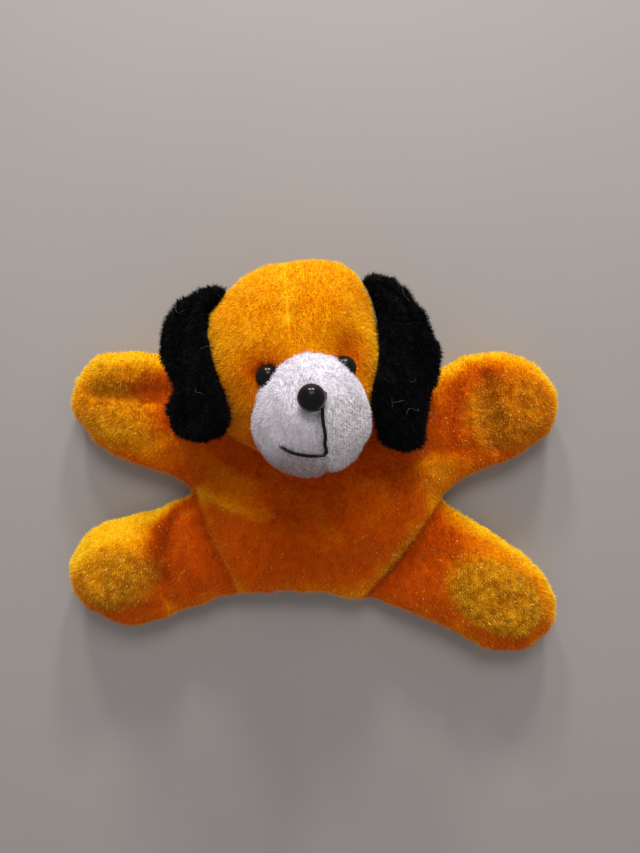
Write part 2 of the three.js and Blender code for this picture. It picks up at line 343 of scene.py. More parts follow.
def netOf(field, low, high, step, rounds):
    # the surface where the field is zero, as even quads: one point in each cell that it crosses
    low, high = np.array(low, float), np.array(high, float)
    counts = np.ceil((high - low) / step).astype(int) + 1
    lines = [low[k] + step * np.arange(counts[k]) for k in range(3)]
    grid = np.stack(np.meshgrid(*lines, indexing="ij"), -1)
    values = field(grid[..., 0], grid[..., 1], grid[..., 2])
    inside = values < 0
    cells = counts - 1
    total = np.zeros((*cells, 3))
    hits = np.zeros(cells)
    crossings = []
    for axis in range(3):
        a = np.moveaxis(values, axis, 0)[:-1]
        b = np.moveaxis(values, axis, 0)[1:]
        crossed = (a < 0) != (b < 0)
        share = np.where(crossed, a / np.where(crossed, a - b, 1), 0)
        point = np.moveaxis(grid, axis, 0)[:-1].copy()
        point[..., axis] += share * step
        point = np.where(crossed[..., None], point, 0)
        point = np.moveaxis(point, 0, axis)
        crossed = np.moveaxis(crossed, 0, axis)
        crossings.append(crossed)
        others = [k for k in range(3) if k != axis]
        for one in (0, 1):
            for two in (0, 1):
                cut = [slice(None)] * 3
                cut[others[0]] = slice(one, cells[others[0]] + one)
                cut[others[1]] = slice(two, cells[others[1]] + two)
                total += point[tuple(cut)]
                hits += crossed[tuple(cut)]
    used = hits > 0
    number = np.full(cells, -1)
    number[used] = np.arange(used.sum())
    points = total[used] / hits[used][:, None]
    quads = []
    for axis in range(3):
        u, v = (axis + 1) % 3, (axis + 2) % 3
        at = np.argwhere(crossings[axis])
        at = at[(at[:, u] > 0) & (at[:, v] > 0) & (at[:, u] < cells[u]) & (at[:, v] < cells[v])]
        corner = []
        for du, dv in ((1, 1), (0, 1), (0, 0), (1, 0)):
            cell = at.copy()
            cell[:, u] -= du
            cell[:, v] -= dv
            corner.append(number[tuple(cell.T)])
        quad = np.stack(corner, 1)
        outward = inside[tuple(at.T)]
        quad[~outward] = quad[~outward][:, ::-1]
        quads.append(quad)
    quads = np.concatenate(quads)
    for _ in range(rounds):
        points = relaxed(points, quads, 0.5)
        for _ in range(2):
            climb = slope(field, points)
            value = field(*points.T)
            move = -value[:, None] * climb / np.maximum((climb ** 2).sum(1), 1e-3)[:, None]
            far = np.linalg.norm(move, axis=1, keepdims=True)
            points = points + move * np.minimum(1, 0.6 * step / np.maximum(far, 1e-9))
    return points, quads


def relaxed(points, quads, amount):
    ends = np.concatenate([quads[:, [k, (k + 1) % 4]] for k in range(4)])
    near = np.bincount(ends[:, 0], minlength=len(points)) + np.bincount(ends[:, 1], minlength=len(points))
    total = np.zeros_like(points)
    for k in range(3):
        total[:, k] += np.bincount(ends[:, 0], points[ends[:, 1], k], len(points))
        total[:, k] += np.bincount(ends[:, 1], points[ends[:, 0], k], len(points))
    middle = total / np.maximum(near, 1)[:, None]
    return points + (middle - points) * amount


def makeMesh(name, points, faces, material, normals=None, marks=None):
    # faces is an array with three or four corners in each row
    mesh = bpy.data.meshes.new(name)
    mesh.vertices.add(len(points))
    mesh.vertices.foreach_set("co", (points * mm).astype(np.float32).ravel())
    sides = faces.shape[1]
    mesh.loops.add(faces.size)
    mesh.loops.foreach_set("vertex_index", faces.astype(np.int32).ravel())
    mesh.polygons.add(len(faces))
    mesh.polygons.foreach_set("loop_start", np.arange(len(faces), dtype=np.int32) * sides)
    for mark, values in (marks or {}).items():
        mesh.attributes.new(mark, "FLOAT", "POINT").data.foreach_set("value", values.astype(np.float32))
    mesh.materials.append(material)
    mesh.update(calc_edges=True)
    mesh.validate()
    mesh.polygons.foreach_set("use_smooth", np.ones(len(mesh.polygons), bool))
    if normals is not None:
        mesh.normals_split_custom_set_from_vertices(normals.tolist())
    piece = bpy.data.objects.new(name, mesh)
    scene.collection.objects.link(piece)
    return piece


def subset(skin, chosen):
    # the faces of a skin that are chosen, with the points that they use
    kept = skin["faces"][chosen]
    used, index = np.unique(kept, return_inverse=True)
    return {"points": skin["points"][used], "faces": index.reshape(kept.shape),
            "normals": skin["normals"][used], "nap": skin["nap"][used], "gold": skin["gold"][used]}


pileLooks = {
    # strands in a square mm, their length, width and lean in mm, and how much they stray
    "golden": {"dense": 11.5, "long": 0.95, "wide": 0.15, "stray": 0.24, "clump": 0.35, "tuft": 2.4,
               "comb": (0.1, -0.4, 0), "sparks": 1.0},
    "white": {"dense": 13.0, "long": 0.95, "wide": 0.13, "stray": 0.24, "clump": 0.35, "tuft": 2.0,
              "comb": (0.2, -0.4, 0), "sparks": 1.8},
    "black": {"dense": 11.0, "long": 1.15, "wide": 0.16, "stray": 0.4, "clump": 0.6, "tuft": 1.8,
              "comb": (0, -0.3, 0), "sparks": 0.1},
}


def makePile(name, skin, colour, seed, density=1.0, length=1.0, lean=None):
    # each strand is a slim closed spike with three sides, rooted just under the cloth
    look = pileLooks[colour]
    rng = np.random.default_rng(seed)
    p, f = skin["points"], skin["faces"]
    tris = np.concatenate([f[:, [0, 1, 2]], f[:, [0, 2, 3]]])
    cross = np.cross(p[tris[:, 1]] - p[tris[:, 0]], p[tris[:, 2]] - p[tris[:, 0]])
    area = np.linalg.norm(cross, axis=1) / 2
    count = int(area.sum() * look["dense"] * density * (1 if full else 0.35))
    pick = np.searchsorted(np.cumsum(area), rng.random(count) * area.sum())
    pick = np.minimum(pick, len(tris) - 1)
    u, v = rng.random(count), rng.random(count)
    over = u + v > 1
    u[over], v[over] = 1 - u[over], 1 - v[over]
    share = np.stack([1 - u - v, u, v], 1)
    root = (p[tris[pick]] * share[..., None]).sum(1)
    up = (skin["normals"][tris[pick]] * share[..., None]).sum(1)
    up /= np.linalg.norm(up, axis=1, keepdims=True)
    nap, gold = [(skin[mark][tris[pick]] * share).sum(1) for mark in ("nap", "gold")]
    comb = np.array(look["comb"], float) if lean is None else lean(root)
    clump = np.stack([waves(root, seed + k, look["tuft"]) for k in (11, 12, 13)], 1) * look["clump"]
    way = up * 1.0 + comb + clump + rng.normal(size=(count, 3)) * look["stray"]
    rise = (way * up).sum(1, keepdims=True)
    way += up * np.maximum(0.35 - rise, 0)  # no strand grows into the cloth
    way /= np.linalg.norm(way, axis=1, keepdims=True)
    # a few strands are painted bright as glints and made glossier, more of them on the golden, glinting
    # patches
    spark = rng.random(count) < (0.007 + 0.10 * gold) * look["sparks"]
    tall = look["long"] * length * rng.uniform(0.65, 1.2, count) * (1 + 0.15 * waves(root, seed + 5, 5.0))
    tall *= 1 - 0.4 * spark
    side = np.cross(way, rng.normal(size=(count, 3)))
    side /= np.linalg.norm(side, axis=1, keepdims=True)
    other = np.cross(way, side)
    wide = look["wide"] / 2 * rng.uniform(0.7, 1.3, count) * (1 + 1.1 * spark)
    points = np.zeros((count, 4, 3))
    for k in range(3):
        turn = k * 2 * math.pi / 3
        around = side * math.cos(turn) + other * math.sin(turn)
        points[:, k] = root - up * 0.12 + around * wide[:, None]
    points[:, 3] = root + way * tall[:, None]
    first = np.arange(count) * 4
    faces = np.stack([first + np.array(c)[:, None] for c in ((0, 1, 3), (1, 2, 3), (2, 0, 3), (2, 1, 0))], 1)
    faces = faces.transpose(2, 1, 0).reshape(-1, 3)
    marks = {
        "nap": np.repeat(nap, 4), "gold": np.repeat(gold, 4), "spark": np.repeat(spark * 1.0, 4),
        "tone": np.repeat(rng.random(count), 4),
        "tip": np.tile([0.0, 0.0, 0.0, 1.0], count),
    }
    piece = makeMesh(name, points.reshape(-1, 3), faces, piles[colour], marks=marks)
    piece.data.polygons.foreach_set("use_smooth", np.zeros(len(piece.data.polygons), bool))
    return piece


def softly(low, high, value):
    t = np.clip((value - low) / (high - low), 0, 1)
    return t * t * (3 - 2 * t)


def together(a, b, soft):
    # the union of two fields with a soft join
    h = np.clip(0.5 + 0.5 * (b - a) / soft, 0, 1)
    return b + (a - b) * h - soft * h * (1 - h)


def without(a, b, soft):
    # field a with field b cut out of it
    return -together(-a, b, soft)


def dented(p, spots):
    # how deep a few round dents are at each point
    total = 0
    for place, width, depth in spots:
        total = total + depth * np.exp(-((p - np.array(place)) ** 2).sum(-1) / width ** 2)
    return total


def rounded(points, rounds=2):
    # cuts the corners of a closed outline
    p = np.array(points, float)
    for _ in range(rounds):
        after = np.roll(p, -1, axis=0)
        p = np.stack([p * 0.75 + after * 0.25, p * 0.25 + after * 0.75], 1).reshape(-1, 2)
    return p


def lineDistance(x, y, points, closed=False):
    # distance from each x, y to a line through a few points, and whether a closed line holds it
    p = np.array(points, float)
    ends = np.roll(p, -1, axis=0) if closed else p[1:]
    starts = p if closed else p[:-1]
    near = np.full(x.shape, 1e9)
    inside = np.zeros(x.shape, bool)
    for (ax, ay), (bx, by) in zip(starts, ends):
        dx, dy = bx - ax, by - ay
        t = np.clip(((x - ax) * dx + (y - ay) * dy) / (dx * dx + dy * dy), 0, 1)
        near = np.minimum(near, (x - ax - t * dx) ** 2 + (y - ay - t * dy) ** 2)
        if (ay != by) and closed:
            inside ^= ((ay > y) != (by > y)) & (x < ax + (y - ay) * dx / dy)
    return np.sqrt(near), inside


class Map:
    # values on a flat grid that can be asked for anywhere
    def __init__(self, low, high, step, worth, blur=0):
        self.low, self.step = low, step
        lines = [np.arange(low[k], high[k] + step, step) for k in (0, 1)]
        self.grid = worth(*np.meshgrid(*lines, indexing="ij"))
        for _ in range(blur):
            for axis in (0, 1):
                g = self.grid
                self.grid = (np.roll(g, 1, axis) + 2 * g + np.roll(g, -1, axis)) / 4

    def at(self, x, y):
        u = np.clip((x - self.low[0]) / self.step, 0, self.grid.shape[0] - 1.001)
        v = np.clip((y - self.low[1]) / self.step, 0, self.grid.shape[1] - 1.001)
        i, j = u.astype(int), v.astype(int)
        u, v = u - i, v - j
        g = self.grid
        return ((g[i, j] * (1 - v) + g[i, j + 1] * v) * (1 - u)
                + (g[i + 1, j] * (1 - v) + g[i + 1, j + 1] * v) * u)


def inside(outline, blur=5, step=0.5):
    # a map of how far each place is inside a closed outline
    low, high = outline.min(0) - 5, outline.max(0) + 5

    def worth(x, y):
        near, held = lineDistance(x, y, outline, True)
        return np.where(held, near, -near)
    return Map(low, high, step, worth, blur)


def bulge(x, y, place, radii, turn, height):
    # a mound with a flat top
    c, s = math.cos(math.radians(turn)), math.sin(math.radians(turn))
    u = ((x - place[0]) * c + (y - place[1]) * s) / radii[0]
    v = ((y - place[1]) * c - (x - place[0]) * s) / radii[1]
    return height / (1 + (u * u + v * v) ** 3)


def sideOfLine(x, y, ends):
    # distance to the left of a line that runs from its first end to its last
    (ax, ay), (bx, by) = ends
    long = math.hypot(bx - ax, by - ay)
    return ((bx - ax) * (y - ay) - (by - ay) * (x - ax)) / long


def puffed(d, v, roll, high):
    # a pillow: d in from its outline, v from -1 at the back to 1 at the front
    u = np.maximum((roll - d) / roll, 0)
    return ((u ** 2.3 + np.abs(v) ** 2.3) ** (1 / 2.3) - 1) * high


# ---- head and muzzle

headShape = {"at": (-4.5, 26, 25.4), "radii": (19.2, 21.3, 14.1), "roll": 5, "square": 2.5, "backSeam": 18}
muzzleShape = {"at": (-0.4, 13.3, 36.6), "radii": (12.0, 13.0, 10.4), "roll": 6, "seam": 1.7}
eyeBeads = {"leftEye": (-9.4, 21, 38.6), "rightEye": (6.5, 22.9, 37.6)}
eyeRadius = 2.6
noseBead = {"at": (-0.2, 16.2, 48.6), "radius": 2.8}
neck = {"x": -4.2, "y": 20, "bore": 5.4, "bed": 7.8, "low": 8.0}


def turned(shape, x, y, z):
    # into the frame of the head or of the muzzle
    c, s = math.cos(math.radians(shape["roll"])), math.sin(math.radians(shape["roll"]))
    x, y, z = x - shape["at"][0], y - shape["at"][1], z - shape["at"][2]
    return c * x + s * y, c * y - s * x, z


def headFlat(u, v):
    # how far out a place is, 1 at the outline, which is fuller under the right ear than under the left
    a, b, c = headShape["radii"]
    square = headShape["square"] + 0.6 * softly(-10, 14, u) * softly(-6, 12, v)
    square = square - 0.36 * softly(2, -12, u) * softly(0, 14, v)
    return (np.abs(u / a) ** square + np.abs(v / b) ** square) ** (2 / square)


def headField(x, y, z, plain=False):
    c = headShape["radii"][2]
    u, v, w = turned(headShape, x, y, z)
    flat = headFlat(u, v)
    ball = (np.sqrt(flat + (w / c) ** 2) - 1) * 16
    if plain:
        return ball
    p = np.stack([x, y, z], -1)
    # the forehead seam is drawn in a little, and so is the seam of the back panel
    top = softly(-4, 6, v) * softly(17, 8, v)
    ball = ball + 0.5 * np.exp(-(u / 0.9) ** 2) * top + 0.15 * np.exp(-(u / 5.0) ** 2) * top
    ball = ball + 0.6 * np.exp(-((z - headShape["backSeam"]) / 0.9) ** 2)
    ball = ball + dented(p, [((-10.6, 22.6, 39.4), 3.6, 0.8), ((7.8, 26.0, 38.6), 4.0, 1.9),
                             ((-15, 12, 31), 6, 0.5), ((12, 38, 33), 6, 0.5), ((-18, 38, 32), 6, 0.5)])
    ball = ball - 0.28 * waves(p, 21, 13) - 0.08 * waves(p, 22, 4.5)
    return ball


def fromBall(x, y, z, place, radius):
    # how far outside a ball each place is
    return np.sqrt((x - place[0]) ** 2 + (y - place[1]) ** 2 + (z - place[2]) ** 2) - radius


def headSkin(x, y, z):
    body = headField(x, y, z)
    for place in eyeBeads.values():
        body = without(body, fromBall(x, y, z, place, eyeRadius) - 0.15, 0.6)
    hole = np.maximum(np.hypot(x - neck["x"], y - neck["y"]) - 8.6, z - headShape["backSeam"] - 2)
    return without(body, hole, 0.8)


def muzzleField(x, y, z):
    a, b, c = muzzleShape["radii"]
    u, v, w = turned(muzzleShape, x, y, z)
    # an egg: narrower at the top, fuller at the two cheeks
    wide = a * (1 - 0.10 * np.clip(v / b, -1, 1) - 0.05 * np.clip(v / b, -1, 1) ** 2)
    ball = (np.sqrt((u / wide) ** 2 + (v / b) ** 2 + (w / c) ** 2) - 1) * 11.5
    s = u - muzzleShape["seam"]
    low = softly(5, -9, v)
    ball = ball + (0.3 + 0.35 * low) * np.exp(-(s / 0.8) ** 2) + 0.35 * low * np.exp(-(s / 3.0) ** 2)
    p = np.stack([x, y, z], -1)
    ball = ball + dented(p, [((-0.2, 16.0, 47.0), 3.2, 0.5), ((5.4, 21.4, 41.4), 2.8, -0.75)])
    smile = np.sqrt((x + 2.4) ** 2 + 0.25 * (y - 9.6) ** 2)
    ball = ball + 0.18 * np.exp(-((smile - 4.8) / 1.2) ** 2) * softly(9, 4, y)
    ball = ball - 0.2 * waves(p, 31, 8) - 0.05 * waves(p, 32, 3.5)
    return ball


def muzzleSkin(x, y, z):
    body = without(muzzleField(x, y, z), headField(x, y, z, True) + 0.1, 0.3)
    for place in eyeBeads.values():
        body = without(body, fromBall(x, y, z, place, eyeRadius) - 0.1, 0.15)
    return without(body, fromBall(x, y, z, noseBead["at"], noseBead["radius"]) - 0.1, 0.4)


def netAndNormals(field, low, high, step, rounds=3):
    points, faces = netOf(field, low, high, step, rounds)
    climb = slope(field, points)
    return points, faces, climb / np.maximum(np.linalg.norm(climb, axis=1, keepdims=True), 1e-9)


def makeSkin(field, low, high, step, nap):
    points, faces, normals = netAndNormals(field, low, high, step)
    nap, gold = nap(points, normals)
    return {"points": points, "faces": faces, "normals": normals, "nap": np.clip(nap, 0, 1),
            "gold": np.clip(gold, 0, 1)}


def centres(skin):
    return skin["points"][skin["faces"]].mean(1)


def addCloth(name, skin, colour, nodes, outer=None, seed=1, density=1.0, length=1.0, lean=None,
             fasten=None):
    # one panel of cloth and the pile that grows on it
    piece = makeMesh(name, skin["points"], skin["faces"], cloths[colour], skin["normals"],
                     {"nap": skin["nap"], "gold": skin["gold"]})
    grown = skin if outer is None else subset(skin, outer)
    pile = makePile(name + "Pile", grown, colour, seed, density, length, lean)
    for made in (piece, pile):
        fasten(made)
    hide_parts(*nodes)


def lightFrom(normals, amount=0.3, base=0.4, rimSheen=0.38):
    # painted light: pile facing the lamps at the top of the head is painted lighter and yellower, and pile
    # seen from its side gets a painted sheen
    side = 1 - np.clip(normals[:, 2], 0, 1)
    return base + amount * normals[:, 1] + rimSheen * side ** 1.5


def headNapAndShade(p, n):
    u, v, w = turned(headShape, *p.T)
    seam = np.exp(-(u / 1.5) ** 2) * softly(0, 8, v) * (w > 0) * (0.6 + 0.6 * waves(p, 23, 2.2))
    eyeShade = dented(p, [((-10.6, 22.6, 39), 3.4, 0.3), ((8.6, 26.2, 38), 4.2, 0.5)])
    litBrow = softly(22, 28, p[:, 1]) * softly(38, 30, p[:, 1])
    # painted light where the head faces the lamps and on the brow, painted shade in the dimples round the
    # eyes and low on the head, and a lighter seam
    nap = lightFrom(n, 0.24, 0.63, 0.2) + 0.2 * seam - 0.16 * softly(14, 4, p[:, 1]) - eyeShade + 0.1 * litBrow
    return nap, 0.04 * seam


def headLean(root):
    # the pile is parted at the seam and brushed down the face
    u, v, w = turned(headShape, *root.T)
    part = np.sign(u) * np.exp(-(u / 1.8) ** 2) * softly(0, 8, v) * softly(20, 12, v)
    return np.stack([part * 0.9, -0.35 + 0.5 * np.abs(part), 0 * u], 1)


head = makeSkin(headSkin, (-27, 1, 8), (19, 51, 43), 0.5 if full else 0.8, headNapAndShade)
headMid = centres(head)
headTurned = turned(headShape, *headMid.T)
headBack = headMid[:, 2] < headShape["backSeam"]
headPanels = {"headLeft": (~headBack & (headTurned[0] < 0), "head_left_panel"),
              "headRight": (~headBack & (headTurned[0] >= 0), "head_right_panel"),
              "headBack": (headBack, "head_back_panel")}
for i, (name, (chosen, node)) in enumerate(headPanels.items()):
    part = subset(head, chosen)
    mid = centres(part)
    outer = (np.hypot(mid[:, 0] - neck["x"], mid[:, 1] - neck["y"]) > 9.4) | (mid[:, 2] > 24)
    length = 0.6 if name == "headBack" else 0.95
    addCloth(name, part, "golden", [node], outer, 100 + i, 1.1, length, headLean,
             lambda o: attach(o, "head"))
print("puppet: head")


def muzzleNapAndShade(p, n):
    # painted light where it faces the lamps, painted shade, pinker, on the lower part, and a lighter right
    # half with painted glints
    u, v, w = turned(muzzleShape, *p.T)
    nap = 0.62 + 0.5 * n[:, 1] + 0.12 * n[:, 2] - 0.4 * softly(8, 0, p[:, 1])
    return nap + 0.12 * softly(0, 7, u), bulge(u, v, (6.5, -4.5), (6, 8), 0, 0.85)


def muzzleLean(root):
    u, v, w = turned(muzzleShape, *root.T)
    right = softly(1, 3, u)
    return np.stack([0.1 + 0.6 * right, -0.35 - 0.25 * right, 0 * u], 1)


muzzle = makeSkin(muzzleSkin, (-16, -3, 26), (14, 29, 51), 0.4 if full else 0.6, muzzleNapAndShade)
muzzleTurned = turned(muzzleShape, *centres(muzzle).T)
muzzlePanels = {"muzzleLeft": (muzzleTurned[0] < muzzleShape["seam"], "muzzle_left_panel"),
                "muzzleRight": (muzzleTurned[0] >= muzzleShape["seam"], "muzzle_right_panel")}
for i, (name, (chosen, node)) in enumerate(muzzlePanels.items()):
    part = subset(muzzle, chosen)
    outer = headField(*centres(part).T, True) > 0.45
    addCloth(name, part, "white", [node], outer, 120 + i, 1.2, 0.85, muzzleLean,
             lambda o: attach(o, "head"))
print("puppet: muzzle")


# ---- ears

earLooks = {
    "left": {
        "root": (-20.6, 42, 26.5), "lean": -30, "droop": -8, "thick": 5.6, "over": 5.5,
        # the outline as it looks from straight above, at a height of 25
        "outline": [(-19, 42.1), (-21.8, 43.3), (-24.5, 42.6), (-27.7, 41), (-30.4, 39), (-32.3, 36.7),
                    (-33.6, 33), (-34.4, 29.4), (-34.3, 25.3), (-33.2, 22.1), (-31.9, 19.8), (-32.3, 17.5),
                    (-33.2, 14.8), (-32.7, 11.6), (-30.9, 8.4), (-28.6, 7.1), (-25.9, 6.7), (-23.1, 7.3),
                    (-20.9, 8.9), (-19.5, 11.6), (-19.5, 15.3), (-20.6, 19.4), (-21.8, 23.5), (-22.9, 28),
                    (-23.8, 31.7), (-23.8, 34.9), (-22.7, 37.8), (-20.4, 40.3)],
        "fold": [(-22.5, 41), (-27, 36), (-28.2, 28), (-26.8, 20), (-27.4, 11)],
        "dents": [(-32, 19.6, 3.5, 1.4), (-22, 21, 4, 0.8)],
    },
    "right": {
        "root": (11.2, 43.4, 26), "lean": 30, "droop": -8, "thick": 5.6, "over": 5.5,
        "outline": [(9.9, 44.4), (11.9, 45.4), (14.7, 45.8), (17.4, 44.6), (20.6, 42.4), (22.9, 39.4),
                    (25.1, 35.5), (27, 31.7), (28.3, 28.5), (28.6, 25.3), (28.1, 21.6), (27, 18),
                    (25.8, 14.4), (25.4, 10.7), (24.9, 7.5), (23.8, 5.2), (21.5, 4.1), (19.2, 4.8),
                    (16.9, 5.2), (15.1, 7.5), (14.4, 10.7), (13.5, 14.4), (13.3, 18.9), (14, 23.5),
                    (14.7, 28.9), (14.7, 33.5), (14, 37.6), (12.6, 40.8), (10.6, 43.3)],
        "fold": [(14, 43), (19.5, 37), (21.6, 28), (20.6, 18), (20, 8)],
        "dents": [(27, 18, 3.5, 0.9), (15, 16, 4, 0.7)],
    },
}


def earFrame(look):
    droop = Matrix.Rotation(math.radians(look["droop"]), 3, "X")
    return np.array(droop @ Matrix.Rotation(math.radians(look["lean"]), 3, "Y"))


def ontoEar(look, points, height=25):
    # where a line of sight from the camera through each point meets the plane of the ear
    turn = earFrame(look)
    eye = np.array([view["x"], view["y"], view["height"]])
    root = np.array(look["root"])
    flat = []
    for x, y in points:
        way = np.array([x, y, height]) - eye
        way *= ((root - eye) @ turn[:, 2]) / (way @ turn[:, 2])
        flat.append(((eye + way - root) @ turn)[:2])
    return np.array(flat)


def onEar(look, p):
    # into the frame of a flat ear, whose cloth is raised along a line of sight where it lies over the head
    root = np.array(look["root"])
    x, y, z = p[..., 0], p[..., 1], p[..., 2]
    u, v, w = turned(headShape, x, y, z)
    beyond = (headFlat(u, v) - 1) * 9
    lift = look["over"] * softly(9, -4, beyond) * (0.5 + 0.5 * softly(root[1] + 2, root[1] - 12, y))
    away = np.stack([view["x"] - x, view["y"] - y, view["height"] - z], -1)
    return (p - away * (lift / (view["height"] - z))[..., None] - root) @ earFrame(look)


def earField(look):
    root = np.array(look["root"])
    edge = inside(rounded(ontoEar(look, look["outline"])), 3, 0.4)
    fold = ontoEar(look, look["fold"])
    dents = [(*ontoEar(look, [(x, y)])[0], width, depth) for x, y, width, depth in look["dents"]]
    half = look["thick"] / 2

    def field(x, y, z):
        p = np.stack([x, y, z], -1)
        q = onEar(look, p)
        u, v, w = q[..., 0], q[..., 1], q[..., 2]
        high = half * (1 + 0.12 * waves(p, 41, 9))
        crease = lineDistance(u, v, fold)[0]
        front = high - 1.0 * np.exp(-(crease / 1.1) ** 2)
        for du, dv, width, depth in dents:
            front = front - depth * np.exp(-((u - du) ** 2 + (v - dv) ** 2) / width ** 2)
        high = np.where(w > 0, np.maximum(front, 0.8), high)
        pad = puffed(edge.at(u, v) - 0.7, w / high, 3.6, 2.6)
        pad = pad - 0.18 * waves(p, 42, 4.5) + 0.3 * np.exp(-(w / 0.5) ** 2)
        for lift in (25, 50, 75):
            # clear of the head as the ear lifts about its root
            c, s = math.cos(math.radians(lift)), math.sin(math.radians(lift))
            y2, z2 = y - root[1], z - root[2]
            y2, z2 = root[1] + c * y2 + s * z2, root[2] + c * z2 - s * y2
            pad = without(pad, headField(x, y2, z2, True) - 0.5, 0.5)
        return without(pad, headField(x, y, z, True) - 0.1, 0.5)
    return field


def earNapAndLight(p, n):
    # painted light: the side facing the lamps is lighter, with a random tone
    return 0.35 + 0.45 * n[:, 1] + 0.15 * waves(p, 44, 6), 0 * p[:, 0]


ears = {}
for i, (side, look) in enumerate(earLooks.items()):
    field = earField(look)
    low, high = ((-40, 0, 10), (-14, 50, 40)) if side == "left" else ((4, -2, 8), (36, 52, 40))
    skin = makeSkin(field, low, high, 0.5 if full else 0.8, earNapAndLight)
    ears[side] = (field, skin)
    q = onEar(look, centres(skin))
    for face, chosen in (("Front", q[:, 2] > 0), ("Back", q[:, 2] <= 0)):
        part = subset(skin, chosen)
        outer = headField(*centres(part).T, True) > 0.6
        node = side + "_ear_" + face.lower() + "_cloth"
        addCloth(side + "Ear" + face, part, "black", [node], outer, 140 + 2 * i + (face == "Back"), 1.1, 1.0,
                 None, lambda o, s=side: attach(o, s + "_ear"))
print("puppet: ears")


# ---- body and limbs

